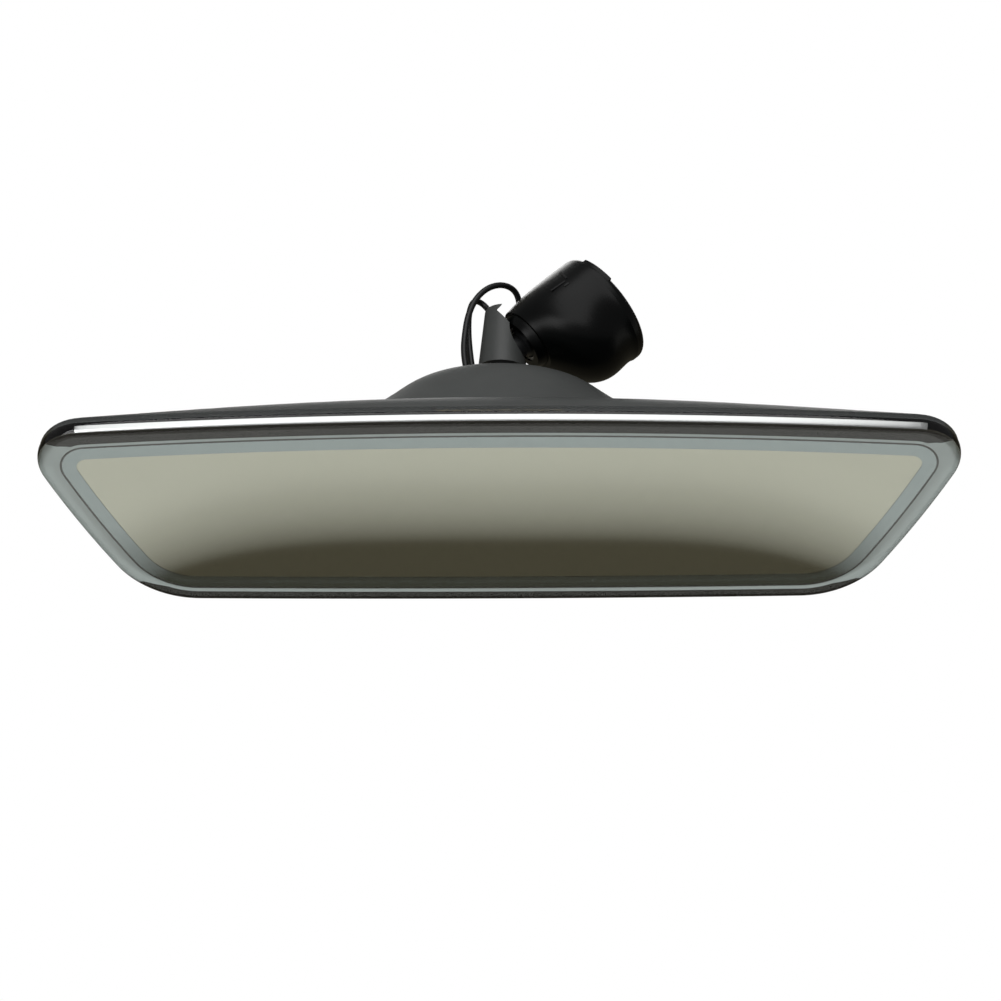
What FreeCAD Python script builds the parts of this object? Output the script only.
"""Interior rearview mirror: auto-dimming, frameless head on a double-ball arm with a twist-on foot.

The model is laid out in the glass frame: X along the glass, Y behind it, Z up, with the zero
point at the centre of the front face.  At the end everything is moved so that the origin is the
centre of the foot's mouth, where the mirror goes onto the windscreen button.
"""
import FreeCAD, Part
import math
import os

V = FreeCAD.Vector
os.makedirs("parts", exist_ok=True)

# ---------------------------------------------------------------- glass outline
glass_width = 250.0
glass_height = 70.7
top_crown_r = 1740.0
bottom_crown_r = 5700.0
side_crown_r = 315.0
side_centre_z = 128.0
top_corner_r = 13.6
bottom_corner_r = 26.0

# ---------------------------------------------------------------- glass stack, front to back
front_glass_t = 3.2
glass_edge_r = 2.9
ring_coat_t = 0.1
ring_inset = 4.3
view_inset = 10.4
cell_gap = 0.3
seal_outer_inset = 5.6
seal_width = 2.6
rear_glass_t = 1.6
rear_glass_inset = 5.2
foam_t = 0.8
foam_inset = 8.6
edge_ring_depth = 2.2
edge_ring_inset = 0.2
edge_ring_width = 4.0
bus_clip_length = 34.0
bus_clip_t = 0.25

# ---------------------------------------------------------------- carrier and housing
carrier_t = 2.0
carrier_inset = 5.4
carrier_rim_width = 3.0
housing_wall = 2.2
housing_inset = 0.3
wing_depth = 16.2
wing_turn = 12.5
wing_sweep = 5.5
wing_sweep_x = 97.0
hump_depth = 38.5
hump_root = 2.7
# stations of the hump: share of the way from its rear face to its root, half width, half height, rise
hump_stations = (
    (1.0, 62.0, 21.0, 4.5),
    (0.6, 47.0, 20.5, 5.2),
    (0.34, 37.0, 19.0, 6.2),
    (0.14, 31.0, 16.8, 7.4),
    (0.048, 28.2, 14.8, 8.0),
    (0.0, 26.2, 12.9, 8.2),
)
port_half_width = 15.8
port_half_height = 9.8
port_corner_r = 6.5
port_rise = 9.1
trim_width = 1.0
trim_t = 2.0

# ---------------------------------------------------------------- balls, arm and sleeve
head_ball_r = 8.0
foot_ball_r = 6.5
ball_gap = 0.15
head_liner_t = 1.1
foot_liner_t = 0.8
head_socket_wall = 2.4
foot_socket_wall = 1.6
head_open_deg = 56.0
foot_open_deg = 47.0
liner_split_gap = 0.5
head_neck_r = 3.4
knee_r = 4.2
foot_neck_r = 2.8
head_ball_setback = 12.0
head_ball_rise = 4.0
arm_lean_x = 0.045
arm_lift_deg = 25.7
elbow_reach = 24.8
foot_ball_from_head = (10.3, 29.6, 13.3)
sleeve_start = 21.3
sleeve_end = 39.8
sleeve_base_r = 6.9
sleeve_top_r = 5.6
sleeve_top_round = 1.6
sleeve_gap = 0.7
sleeve_foot_gap = 2.6

# ---------------------------------------------------------------- foot
foot_mouth_r = 15.3
foot_edge_r = 1.8
foot_reach = 22.6
foot_offset = 6.1
# stations of the foot: depth behind its mouth, radius, how far its middle is moved to the ball's side
foot_stations = (
    (3.0, 17.1, 0.0),
    (9.0, 17.1, 0.0),
    (14.0, 16.8, 0.2),
    (18.0, 15.5, 1.3),
    (21.6, 13.2, 3.2),
    (25.4, 9.9, 5.9),
)
foot_wall = 1.6
foot_cavity_depth = 13.0
plug_start = 1.0
rim_lug_r = 17.0
rim_lug_width = 1.6
rim_lug_turn_deg = 251.0
rim_lug_deg = 38.0
seat_bore_r = 12.5
seat_ring_depth = 5.0
lock_wire_r = 0.6
lock_gap_deg = 40.0

# ---------------------------------------------------------------- electronics
board_length = 52.0
board_height = 24.0
board_t = 1.2
board_x = -47.0
board_z = 2.0
board_stand = 2.0
post_r = 2.6
screw_r = 1.3
screw_head_r = 2.3
screw_head_t = 1.6
screw_drive_r = 0.9
pilot_gap = 0.1
post_inset = 4.0
chip_size = (9.0, 1.6, 7.0)
chip_place = (-4.0, 4.0)
coil_r = 3.2
coil_t = 3.4
coil_place = (15.0, -5.0)
capacitor_r = 1.8
capacitor_t = 1.6
capacitor_places = ((-14.0, -7.0), (-6.0, -7.0))
diode_size = (4.4, 1.8, 2.6)
diode_place = (2.0, -4.0)
plug_room = (8.0, 3.2, 6.4)
plug_wall = 0.8
plug_rise = 4.0
plug_back = 0.5
light_pipe_place = (8.0, 3.0)
light_pipe_short = 0.4
glare_pipe_place = (-10.0, -5.0)
light_pipe_r = 2.4
light_pipe_gap = 0.15
glare_pipe_r = 2.2
pedestal_r = 9.6
pedestal_wall = 2.2
flange_r = 16.0
flange_t = 2.4
flange_screw_pcr = 12.8

# ---------------------------------------------------------------- leads
lead_r = 0.9
lead_entry_points = 4

# ---------------------------------------------------------------- helpers


def unit(v):
    """The same direction with length one."""
    return V(v).multiply(1.0 / v.Length)


def along(start, direction, distance):
    """The point at a distance from a start, in a direction."""
    return start + V(direction).multiply(distance)


def cyl(start, direction, radius, length):
    return Part.makeCylinder(radius, length, start, direction)


def cone(start, direction, r_start, r_end, length):
    return Part.makeCone(r_start, r_end, length, start, direction)


def ball(centre, radius):
    return Part.makeSphere(radius, centre)


def block(centre, dx, dy, dz):
    """A box given by its middle and its three sides."""
    return Part.makeBox(dx, dy, dz, centre - V(dx / 2, dy / 2, dz / 2))


def half_space(centre, direction):
    """A big block that lies wholly on the far side of a plane, for trimming."""
    size = glass_width / 2
    box = Part.makeBox(size, size, size, V(-size / 2, -size / 2, 0))
    turn = FreeCAD.Rotation(V(0, 0, 1), direction)
    box.Placement = FreeCAD.Placement(centre, turn)
    return box


# ---------------------------------------------------------------- outline of the glass
def circle_meet(c1, r1, c2, r2, low):
    """Where two circles in the XZ plane meet, on the right, high or low."""
    d = c2 - c1
    reach = (d.Length ** 2 + r1 ** 2 - r2 ** 2) / (2 * d.Length)
    rise = math.sqrt(r1 ** 2 - reach ** 2)
    mid = along(c1, unit(d), reach)
    side = unit(V(-d.z, 0, d.x)).multiply(rise)
    a = mid + side
    b = mid - side
    sign = -1.0 if low else 1.0
    return a if a.x + sign * a.z > b.x + sign * b.z else b


def side_centre():
    """The centre of the side circle, set so that the glass is widest at glass_width."""
    top = V(0, 0, glass_height / 2 - top_crown_r)
    side = V(0, 0, side_centre_z)
    low, high = -2.0 * side_crown_r, glass_width / 2
    for _ in range(50):
        side.x = (low + high) / 2
        corner = circle_meet(top, top_crown_r - top_corner_r, side, side_crown_r - top_corner_r, False)
        if corner.x + top_corner_r < glass_width / 2:
            low = side.x
        else:
            high = side.x
    return side


SIDE_CENTRE = side_centre()


def outline(inset, y, sweep=0.0):
    """The glass edge moved in by an inset, as one closed wire at depth y.

    A sweep bends the long edges in further, by that much at wing_sweep_x from the middle.
    """
    bend = 2 * sweep / wing_sweep_x ** 2
    top_r = 1 / (1 / (top_crown_r - inset) + bend)
    bottom_r = 1 / (1 / (bottom_crown_r - inset) + bend)
    side_r = side_crown_r - inset
    corner_a = top_corner_r - inset
    corner_b = bottom_corner_r - inset
    top = V(0, 0, glass_height / 2 - inset - top_r)
    bottom = V(0, 0, bottom_r - glass_height / 2 + inset)
    top_corner = circle_meet(top, top_r - corner_a, SIDE_CENTRE, side_r - corner_a, False)
    bottom_corner = circle_meet(bottom, bottom_r - corner_b, SIDE_CENTRE, side_r - corner_b, True)
    radii = [top_r, corner_a, side_r, corner_b, bottom_r]
    centres = [V(c.x, y, c.z) for c in (top, top_corner, SIDE_CENTRE, bottom_corner, bottom)]

    def tangent_point(c_big, c_small, r_small):
        return along(c_small, unit(c_small - c_big), r_small)

    p1 = tangent_point(centres[0], centres[1], radii[1])
    p2 = tangent_point(centres[2], centres[1], radii[1])
    p3 = tangent_point(centres[2], centres[3], radii[3])
    p4 = tangent_point(centres[4], centres[3], radii[3])
    ends = [V(0, y, centres[0].z + radii[0]), p1, p2, p3, p4, V(0, y, centres[4].z - radii[4])]
    right = []
    for c, r, a, b in zip(centres, radii, ends, ends[1:]):
        mid = along(c, unit((a + b) * 0.5 - c), r)
        right.append((a, mid, b))

    def mirrored(p):
        return V(-p.x, p.y, p.z)

    edges = []
    top_a = mirrored(right[0][2])
    edges.append(Part.Arc(top_a, right[0][0], right[0][2]).toShape())
    edges += [Part.Arc(a, m, b).toShape() for a, m, b in right[1:4]]
    edges.append(Part.Arc(right[4][0], right[4][2], mirrored(right[4][0])).toShape())
    edges += [Part.Arc(mirrored(b), mirrored(m), mirrored(a)).toShape() for a, m, b in reversed(right[1:4])]
    return Part.Wire(edges)


def plate(inset, y_front, thickness):
    """A flat plate with the glass outline moved in by an inset."""
    return Part.Face(outline(inset, y_front)).extrude(V(0, thickness, 0))


def ring(inset_out, inset_in, y_front, thickness):
    return plate(inset_out, y_front, thickness).cut(plate(inset_in, y_front, thickness))


def ellipse_wire(x, y, z, a, b):
    """An upright ellipse at depth y: half width a, half height b."""
    curve = Part.Ellipse(V(x + max(a, b), y, z), V(x, y, z + min(a, b)), V(x, y, z))
    if b > a:
        curve = Part.Ellipse(V(x, y, z + b), V(x + a, y, z), V(x, y, z))
    return Part.Wire([curve.toShape()])


def slot_face(y, z, half_width, half_height, corner):
    """A flat face at depth y: a rectangle with round corners, centred at height z."""
    square = block(V(0, y + 0.5, z), 2 * half_width, 1.0, 2 * half_height)
    upright = [e for e in square.Edges if abs(e.Vertexes[0].Y - e.Vertexes[-1].Y) > 0.5]
    rounded = square.makeFillet(corner, upright)
    return [f for f in rounded.Faces if abs(f.CenterOfMass.y - y) < 1e-6][0]


# ---------------------------------------------------------------- where things are
mirror_y = front_glass_t
seal_y = mirror_y + ring_coat_t
rear_glass_y = mirror_y + cell_gap
foam_y = rear_glass_y + rear_glass_t
edge_ring_back = front_glass_t + edge_ring_depth
carrier_y = edge_ring_back
carrier_back = foam_y + foam_t + carrier_t
board_y = carrier_back + board_stand

HEAD_BALL = V(0, hump_depth - head_ball_setback, head_ball_rise)
FOOT_BALL = HEAD_BALL + V(*foot_ball_from_head)
lift = math.radians(arm_lift_deg)
ARM = unit(V(arm_lean_x, math.cos(lift), math.sin(lift)))
ELBOW = along(HEAD_BALL, ARM, elbow_reach)
FOOT_NECK = unit(ELBOW - FOOT_BALL)
FOOT_AXIS = unit(V(0.755, 0.619, 0.216))
FOOT_SIDE = unit(V(0.617, -0.562, -0.547))
SEAT = FOOT_BALL + V(FOOT_AXIS).multiply(foot_reach) + V(FOOT_SIDE).multiply(foot_offset)
INTO_FOOT = V(FOOT_AXIS).multiply(-1)

head_liner_in = head_ball_r + ball_gap
head_liner_out = head_liner_in + head_liner_t
head_socket_in = head_liner_out + ball_gap
head_socket_out = head_socket_in + head_socket_wall
foot_liner_in = foot_ball_r + ball_gap
foot_liner_out = foot_liner_in + foot_liner_t
foot_socket_in = foot_liner_out + ball_gap
foot_socket_out = foot_socket_in + foot_socket_wall
head_open = math.radians(head_open_deg)
foot_open = math.radians(foot_open_deg)


# ---------------------------------------------------------------- glass cell
def make_front_glass():
    """Front plate with the rounded, polished edge."""
    glass = plate(0, 0, front_glass_t)
    front_edges = [e for e in glass.Edges if max(abs(v.Y) for v in e.Vertexes) < 1e-6]
    return glass.makeFillet(glass_edge_r, front_edges)


def make_chrome_ring():
    """Bright border coated on the back of the front plate."""
    return ring(ring_inset, view_inset, mirror_y, ring_coat_t)


def make_seal_bead():
    """Epoxy bead that closes the gel gap."""
    return ring(seal_outer_inset, seal_outer_inset + seal_width, seal_y, cell_gap - ring_coat_t)


def make_gel_layer():
    """Dimming gel between the plates, inside the bead and the bright border."""
    wide = plate(seal_outer_inset + seal_width, seal_y, cell_gap - ring_coat_t)
    narrow = plate(view_inset, mirror_y, ring_coat_t)
    return wide.fuse(narrow).removeSplitter()


def make_rear_glass():
    """Rear plate that carries the mirror layer."""
    return plate(rear_glass_inset, rear_glass_y, rear_glass_t)


def make_bus_clips():
    """Two thin contact strips on the long edges of the rear plate."""
    strips = []
    for sign in (1, -1):
        edge_z = sign * (glass_height / 2 - rear_glass_inset + bus_clip_t / 2 + pilot_gap)
        strips.append(block(V(0, rear_glass_y + rear_glass_t / 2, edge_z),
                            bus_clip_length, rear_glass_t, bus_clip_t))
    return Part.makeCompound(strips)


def make_edge_ring():
    """Clear trim ring that continues the polished edge back to the housing."""
    inner = edge_ring_inset + edge_ring_width
    body = plate(edge_ring_inset, front_glass_t, edge_ring_depth)
    return body.cut(plate(inner, front_glass_t, edge_ring_depth))


def make_foam_tape():
    """Double-sided foam between the rear plate and the carrier."""
    return plate(foam_inset, foam_y, foam_t)


# ---------------------------------------------------------------- places shared by carrier parts
def on_board(place, y):
    """A point at depth y, at a place counted from the middle of the board."""
    return V(board_x + place[0], y, board_z + place[1])


post_x = board_length / 2 - post_inset
post_z = board_height / 2 - post_inset
BOARD_POSTS = [on_board((sx * post_x, sz * post_z), carrier_back)
               for sx, sz in ((-1, -1), (1, -1), (1, 1), (-1, 1))]
BOARD_SCREWS = [BOARD_POSTS[1], BOARD_POSTS[3]]
LIGHT_PIPE = on_board(light_pipe_place, 0)
GLARE_PIPE = on_board(glare_pipe_place, 0)
FLANGE_ANGLES = (90.0, 210.0, 330.0)
FLANGE_SCREWS = [V(flange_screw_pcr * math.cos(math.radians(a)), 0,
                   head_ball_rise + flange_screw_pcr * math.sin(math.radians(a))) for a in FLANGE_ANGLES]
BACK = V(0, 1, 0)


def make_carrier():
    """Black tray that the glass is bonded to; it holds the socket and the board."""
    tray = plate(carrier_inset, carrier_y, carrier_back - carrier_y)
    pocket_t = foam_y + foam_t - carrier_y
    tray = tray.cut(plate(carrier_inset + carrier_rim_width, carrier_y, pocket_t))
    posts = [cyl(p, BACK, post_r, board_stand) for p in BOARD_POSTS]
    tray = tray.multiFuse(posts)
    holes = [cyl(p, BACK, screw_r, board_stand) for p in BOARD_SCREWS]
    holes += [cyl(V(p.x, carrier_y, p.z), BACK, screw_r, carrier_back) for p in FLANGE_SCREWS]
    holes.append(cyl(V(GLARE_PIPE.x, carrier_y, GLARE_PIPE.z), BACK, glare_pipe_r + light_pipe_gap, carrier_back))
    tray = tray.cut(Part.makeCompound(holes))
    return tray


# ---------------------------------------------------------------- rear housing
DOME_ANGLES = (0.0, 22.0, 42.0, 60.0, 76.0, 90.0)


def dome(wall):
    """The glass outline rounding over backwards on a quarter ellipse, moved in by a wall.

    Its long edges sweep in as it goes back, so that the shell thins towards both ends.
    """
    turn = wing_turn - wall
    depth = wing_depth - wall - edge_ring_back
    wires = []
    for degrees in DOME_ANGLES:
        angle = math.radians(degrees)
        inset = housing_inset + wall + turn * (1 - math.cos(angle))
        depth_here = edge_ring_back + depth * math.sin(angle)
        wires.append(outline(inset, depth_here, wing_sweep * math.sin(angle)))
    return Part.makeLoft(wires, True, False)


def hump(wall):
    """The bell that grows out of the back, a loft of ellipses, moved in by a wall."""
    wires = []
    length = hump_depth - (wing_depth - hump_root)
    for share, half_width, half_height, rise in hump_stations:
        depth = hump_depth - wall - share * length
        wires.append(ellipse_wire(0, depth, rise, half_width - wall, half_height - wall))
    return Part.makeLoft(wires, True, False)


def make_rear_housing():
    """Moulded back shell with the hump, the arm's port and the light pipe's window."""
    outside = dome(0).fuse(hump(0))
    inside = dome(housing_wall).fuse(hump(housing_wall))
    port = slot_face(hump_depth - 2 * housing_wall, port_rise, port_half_width + trim_width,
                     port_half_height + trim_width, port_corner_r + trim_width)
    port = port.extrude(V(0, 3 * housing_wall, 0))
    shell = outside.cut(inside).cut(port)
    window = cyl(V(LIGHT_PIPE.x, carrier_back, LIGHT_PIPE.z), BACK, light_pipe_r + light_pipe_gap, wing_depth)
    return shell.cut(window)


def make_port_trim():
    """Liner ring round the port where the arm and the leads come out."""
    front = hump_depth - housing_wall
    fit = trim_width - pilot_gap
    outer = slot_face(front, port_rise, port_half_width + fit, port_half_height + fit, port_corner_r + fit)
    inner = slot_face(front, port_rise, port_half_width, port_half_height, port_corner_r)
    return outer.extrude(V(0, trim_t, 0)).cut(inner.extrude(V(0, trim_t, 0)))


# ---------------------------------------------------------------- head socket
def cup(centre, axis, r_in, r_out, open_angle):
    """A spherical cup whose mouth opens along an axis, at an angle from it."""
    shell = ball(centre, r_out).cut(ball(centre, r_in))
    lip = along(centre, axis, r_in * math.cos(open_angle))
    return shell.cut(half_space(lip, axis))


def make_head_socket():
    """Cup on a pedestal with a three-screw flange, all one moulding."""
    foot_y = carrier_back
    reach = HEAD_BALL.y - foot_y
    base = V(0, foot_y, head_ball_rise)
    pedestal = cyl(base, BACK, pedestal_r, reach)
    flange = cyl(base, BACK, flange_r, flange_t)
    body = pedestal.fuse(flange).fuse(ball(HEAD_BALL, head_socket_out))
    body = body.cut(ball(HEAD_BALL, head_socket_in))
    hollow_r = pedestal_r - pedestal_wall
    body = body.cut(cyl(base, BACK, hollow_r, reach - head_socket_out))
    lip = along(HEAD_BALL, ARM, head_socket_in * math.cos(head_open))
    body = body.cut(half_space(lip, ARM))
    holes = [cyl(V(p.x, foot_y, p.z), BACK, screw_r + pilot_gap, flange_t) for p in FLANGE_SCREWS]
    return body.cut(Part.makeCompound(holes))


def screw(head_seat, direction, length):
    """A pan-head screw: its head stands on the seat and its shank goes the other way."""
    shank = cyl(along(head_seat, direction, -length), direction, screw_r - pilot_gap / 2, length)
    head = cyl(head_seat, direction, screw_head_r, screw_head_t)
    drive = cyl(along(head_seat, direction, screw_head_t / 2), direction, screw_drive_r, screw_head_t)
    return shank.fuse(head).cut(drive)


def make_socket_screws():
    seat_y = carrier_back + flange_t
    reach = flange_t + carrier_t
    return Part.makeCompound([screw(V(p.x, seat_y, p.z), BACK, reach) for p in FLANGE_SCREWS])


def liner_half(centre, axis, r_in, r_out, open_angle, side):
    """Half of a ball liner: the part of the cup on one side of the middle plane."""
    whole = cup(centre, axis, r_in, r_out, open_angle)
    return whole.cut(half_space(along(centre, side, liner_split_gap / 2), V(side).multiply(-1)))


def make_head_liner(side):
    return liner_half(HEAD_BALL, ARM, head_liner_in, head_liner_out, head_open, side)


def make_foot_liner(side):
    return liner_half(FOOT_BALL, FOOT_NECK, foot_liner_in, foot_liner_out, foot_open, side)


# ---------------------------------------------------------------- circuit board
def make_circuit_board():
    board = block(V(board_x, board_y + board_t / 2, board_z), board_length, board_t, board_height)
    holes = [cyl(V(p.x, board_y, p.z), BACK, screw_r + pilot_gap, board_t) for p in BOARD_SCREWS]
    holes.append(cyl(V(GLARE_PIPE.x, board_y, GLARE_PIPE.z), BACK, glare_pipe_r, board_t))
    return board.cut(Part.makeCompound(holes))


def make_board_screws():
    seat_y = board_y + board_t
    return Part.makeCompound([screw(V(p.x, seat_y, p.z), BACK, board_t + board_stand) for p in BOARD_SCREWS])


def make_board_parts():
    """The larger parts on the board: driver chip, coil, two capacitors and a diode."""
    top = board_y + board_t
    chip = block(on_board(chip_place, top + chip_size[1] / 2), *chip_size)
    coil = cyl(on_board(coil_place, top), BACK, coil_r, coil_t)
    diode = block(on_board(diode_place, top + diode_size[1] / 2), *diode_size)
    caps = [cyl(on_board(place, top), BACK, capacitor_r, capacitor_t) for place in capacitor_places]
    return Part.makeCompound([chip, coil, diode] + caps)


def make_board_socket():
    """Plug socket at the inner end of the board, open towards the hump."""
    room_x, room_y, room_z = plug_room
    depth = room_y + 2 * plug_wall
    outer_end = board_length / 2 - plug_back
    middle = board_y + board_t + depth / 2
    length = room_x + plug_wall
    body = block(on_board((outer_end - length / 2, plug_rise), middle), length, depth, room_z + 2 * plug_wall)
    room = block(on_board((outer_end - room_x / 2, plug_rise), middle), room_x, room_y, room_z)
    return body.cut(room)


def make_light_pipe():
    """Clear pipe from the board to the window in the back, for the forward light sensor."""
    start = board_y + board_t
    end = wing_depth - light_pipe_short
    return cyl(V(LIGHT_PIPE.x, start, LIGHT_PIPE.z), BACK, light_pipe_r, end - start)


def make_glare_sensor():
    """Sensor that looks forward through the mirror layer."""
    start = foam_y + foam_t
    return cyl(V(GLARE_PIPE.x, start, GLARE_PIPE.z), BACK, glare_pipe_r - pilot_gap, board_y + board_t - start)


# ---------------------------------------------------------------- leads
# routes from the sleeve's end to the inside of the hump, counted from the head ball's centre
LEAD_A = (
    (0.5, 30.0, 8.8), (3.2, 38.4, 5.0), (5.0, 44.5, 5.0), (6.4, 48.5, 8.2), (5.2, 50.5, 12.5),
    (1.6, 49.1, 16.2), (-3.0, 46.2, 17.5), (-6.8, 41.4, 16.9), (-8.9, 35.6, 15.3), (-9.7, 29.5, 14.0),
    (-10.1, 24.2, 12.2), (-9.4, 18.7, 10.0), (-7.8, 13.7, 6.6), (-9.0, 9.1, 4.5), (-12.0, 4.9, 3.2),
)
LEAD_B = (
    (-0.8, 35.0, 13.5), (-1.8, 40.5, 11.5), (-4.4, 44.7, 12.4), (-7.2, 43.7, 14.8), (-8.6, 38.7, 14.2),
    (-8.8, 32.9, 12.6), (-8.4, 26.5, 10.6), (-7.6, 20.3, 8.2), (-6.6, 14.7, 4.3), (-8.6, 10.1, 1.6),
    (-12.6, 5.9, 0.2),
)


def smooth_path(points):
    """Straight runs joined by tangent arcs; the arc at each bend is as large as the runs allow."""
    pts = [HEAD_BALL + V(*p) for p in points]
    edges = []
    start = pts[0]
    radii = []
    for before, corner, after in zip(pts, pts[1:], pts[2:]):
        run_in = corner - before
        run_out = after - corner
        trim = 0.45 * min(run_in.Length, run_out.Length)
        turn = run_in.getAngle(run_out)
        radius = trim / math.tan(turn / 2)
        radii.append(radius)
        arc_start = along(corner, unit(run_in), -trim)
        arc_end = along(corner, unit(run_out), trim)
        bisector = unit(unit(run_out) - unit(run_in))
        centre = along(corner, bisector, math.hypot(radius, trim))
        arc_mid = along(centre, unit(corner - centre), radius)
        edges.append(Part.LineSegment(start, arc_start).toShape())
        edges.append(Part.Arc(arc_start, arc_mid, arc_end).toShape())
        start = arc_end
    edges.append(Part.LineSegment(start, pts[-1]).toShape())
    return Part.Wire(edges), radii


def lead_tube(points, path, radius):
    """A round tube of some radius along a lead's path."""
    first = path.Edges[0]
    heading = first.tangentAt(first.FirstParameter)
    section = circle_wire(HEAD_BALL + V(*points[0]), heading, radius)
    return path.makePipeShell([section], True, True)


def make_lead(name, points):
    path, radii = smooth_path(points)
    tube = lead_tube(points, path, lead_r)
    expected = math.pi * lead_r ** 2 * path.Length
    print(name, "radii", [round(r, 1) for r in radii], "length", round(path.Length, 1),
          "volume share", round(tube.Volume / expected, 4))
    return tube


# ---------------------------------------------------------------- arm
def make_arm_core():
    """Die-cast double-ball stud with a bend between its two balls."""
    low_neck = cone(HEAD_BALL, ARM, head_neck_r, knee_r, elbow_reach)
    to_foot = FOOT_BALL - ELBOW
    high_neck = cone(ELBOW, unit(to_foot), knee_r, foot_neck_r, to_foot.Length)
    knee = ball(ELBOW, knee_r)
    return ball(HEAD_BALL, head_ball_r).fuse(low_neck).fuse(knee).fuse(high_neck).fuse(
        ball(FOOT_BALL, foot_ball_r)).removeSplitter()


def make_stem_sleeve():
    """Tapered moulded cover over the stem, cut back where the foot swings."""
    start = along(HEAD_BALL, ARM, sleeve_start)
    length = sleeve_end - sleeve_start
    body = cone(start, ARM, sleeve_base_r, sleeve_top_r, length)
    top = [e for e in body.Edges if abs((e.CenterOfMass - along(start, ARM, length)).Length) < 1e-3]
    body = body.makeFillet(sleeve_top_round, top)
    clear = foot_socket_out + sleeve_gap
    body = body.cut(ball(FOOT_BALL, clear))
    body = body.cut(foot_body(sleeve_foot_gap))
    room = knee_r + pilot_gap
    core = cone(HEAD_BALL, ARM, head_neck_r + pilot_gap, room, elbow_reach)
    to_foot = FOOT_BALL - ELBOW
    slot = cone(ELBOW, unit(to_foot), room, foot_neck_r + pilot_gap, to_foot.Length)
    body = body.cut(core.fuse(ball(ELBOW, room)).fuse(slot))
    for points in (LEAD_A[:lead_entry_points], LEAD_B[:lead_entry_points]):
        path, _ = smooth_path(points)
        body = body.cut(lead_tube(points, path, lead_r + pilot_gap))
    return max(body.Solids, key=lambda s: s.Volume)


# ---------------------------------------------------------------- foot
def foot_frame(depth):
    """A point on the foot's axis, at a depth behind its mouth."""
    return along(SEAT, INTO_FOOT, depth)


def circle_wire(centre, normal, radius):
    return Part.Wire([Part.Circle(centre, normal, radius).toShape()])


def foot_body(grow):
    """The round body of the foot behind its shoulder, narrowing to the ball's side, made larger by grow."""
    wires = [circle_wire(along(foot_frame(depth + grow), FOOT_SIDE, -shift), INTO_FOOT, radius + grow)
             for depth, radius, shift in foot_stations]
    return Part.makeLoft(wires, True, False)


def rim_lug():
    """A short raised stretch of the foot's rim that fills its rounded edge."""
    outward = FreeCAD.Rotation(FOOT_AXIS, rim_lug_turn_deg).multVec(unit(FOOT_AXIS.cross(V(0, 0, 1))))
    inner = along(SEAT, outward, foot_mouth_r - foot_wall)
    outer = along(SEAT, outward, rim_lug_r)
    back = V(INTO_FOOT).multiply(rim_lug_width)
    section = Part.Face(Part.makePolygon([inner, outer, outer + back, inner + back, inner]))
    return section.revolve(SEAT, FOOT_AXIS, rim_lug_deg)


def make_foot_shell():
    """Windscreen foot: a round body, open at its mouth, that narrows to the ball socket at one side."""
    shoulder = cyl(SEAT, INTO_FOOT, foot_mouth_r + foot_edge_r, foot_stations[0][0])
    rim = [e for e in shoulder.Edges if (e.CenterOfMass - SEAT).Length < 1e-3]
    shoulder = shoulder.makeFillet(foot_edge_r, rim)
    body = shoulder.fuse(foot_body(0)).fuse(ball(FOOT_BALL, foot_socket_out)).fuse(rim_lug())
    cavity = cyl(SEAT, INTO_FOOT, foot_mouth_r - foot_wall, foot_cavity_depth)
    body = body.cut(cavity)
    bore = cyl(FOOT_BALL, FOOT_AXIS, foot_socket_in, foot_reach)
    body = body.cut(bore).cut(ball(FOOT_BALL, foot_socket_in))
    lip = along(FOOT_BALL, FOOT_NECK, foot_socket_in * math.cos(foot_open))
    return body.cut(half_space(lip, FOOT_NECK))


def make_socket_plug():
    """Plug pressed in from the mouth; its hollow face closes the foot's ball socket."""
    start = along(FOOT_BALL, FOOT_AXIS, plug_start)
    length = foot_reach - foot_cavity_depth - plug_start
    body = cyl(start, FOOT_AXIS, foot_socket_in - pilot_gap, length)
    return body.cut(ball(FOOT_BALL, foot_socket_in))


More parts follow.
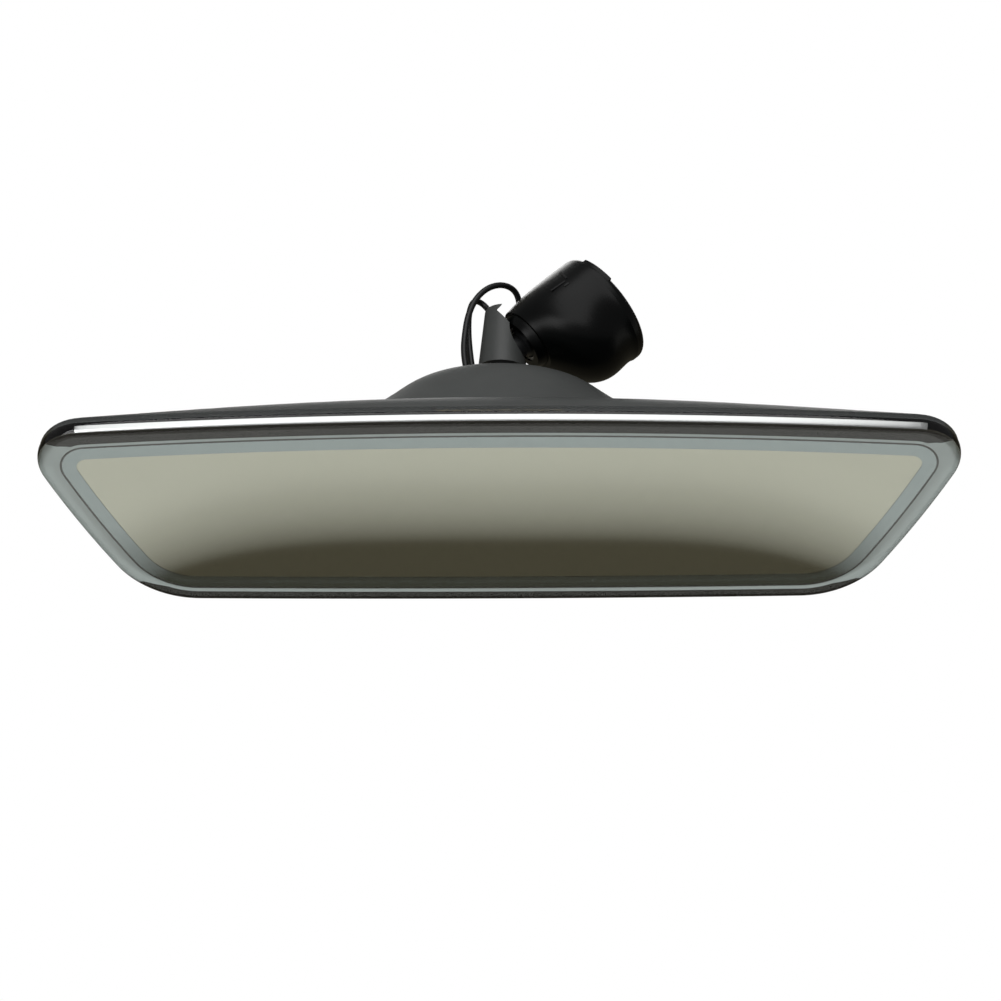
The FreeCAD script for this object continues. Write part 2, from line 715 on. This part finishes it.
def make_seat_ring():
    """Steel ring in the mouth that locates on the windscreen button."""
    body = cyl(SEAT, INTO_FOOT, foot_mouth_r - foot_wall - pilot_gap, seat_ring_depth)
    return body.cut(cyl(SEAT, INTO_FOOT, seat_bore_r, seat_ring_depth))


def make_lock_spring():
    """Open wire ring behind the seat ring that snaps under the button's edge."""
    centre = foot_frame(seat_ring_depth + lock_wire_r)
    wire = Part.makeTorus(seat_bore_r, lock_wire_r, centre, FOOT_AXIS, 0, 360, 360 - lock_gap_deg)
    return wire


# ---------------------------------------------------------------- build
SIDE = V(1, 0, 0)
FOOT_TILT = unit(FOOT_NECK.cross(V(0, 0, 1)))


def build():
    nodes = {
        "front_glass": make_front_glass(),
        "chrome_ring": make_chrome_ring(),
        "seal_bead": make_seal_bead(),
        "gel_layer": make_gel_layer(),
        "rear_glass": make_rear_glass(),
        "bus_clips": make_bus_clips(),
        "edge_ring": make_edge_ring(),
        "foam_tape": make_foam_tape(),
        "carrier_tray": make_carrier(),
        "rear_housing": make_rear_housing(),
        "port_trim": make_port_trim(),
        "head_socket": make_head_socket(),
        "socket_screws": make_socket_screws(),
        "head_liner_left": make_head_liner(V(SIDE).multiply(-1)),
        "head_liner_right": make_head_liner(SIDE),
        "circuit_board": make_circuit_board(),
        "board_screws": make_board_screws(),
        "board_parts": make_board_parts(),
        "board_socket": make_board_socket(),
        "light_pipe": make_light_pipe(),
        "glare_sensor": make_glare_sensor(),
        "arm_core": make_arm_core(),
        "stem_sleeve": make_stem_sleeve(),
        "foot_liner_near": make_foot_liner(FOOT_TILT),
        "foot_liner_far": make_foot_liner(V(FOOT_TILT).multiply(-1)),
        "foot_shell": make_foot_shell(),
        "socket_plug": make_socket_plug(),
        "seat_ring": make_seat_ring(),
        "lock_spring": make_lock_spring(),
        "lead_a": make_lead("lead_a", LEAD_A),
        "lead_b": make_lead("lead_b", LEAD_B),
    }
    for name, shape in nodes.items():
        placed = shape.copy()
        placed.translate(V(SEAT).multiply(-1))
        if not placed.isValid():
            print("not valid:", name)
        print(name, "solids", len(placed.Solids), "volume", round(placed.Volume, 1))
        placed.exportStep("parts/" + name + ".step")


build()
print("seat in the glass frame", [round(c, 3) for c in SEAT])
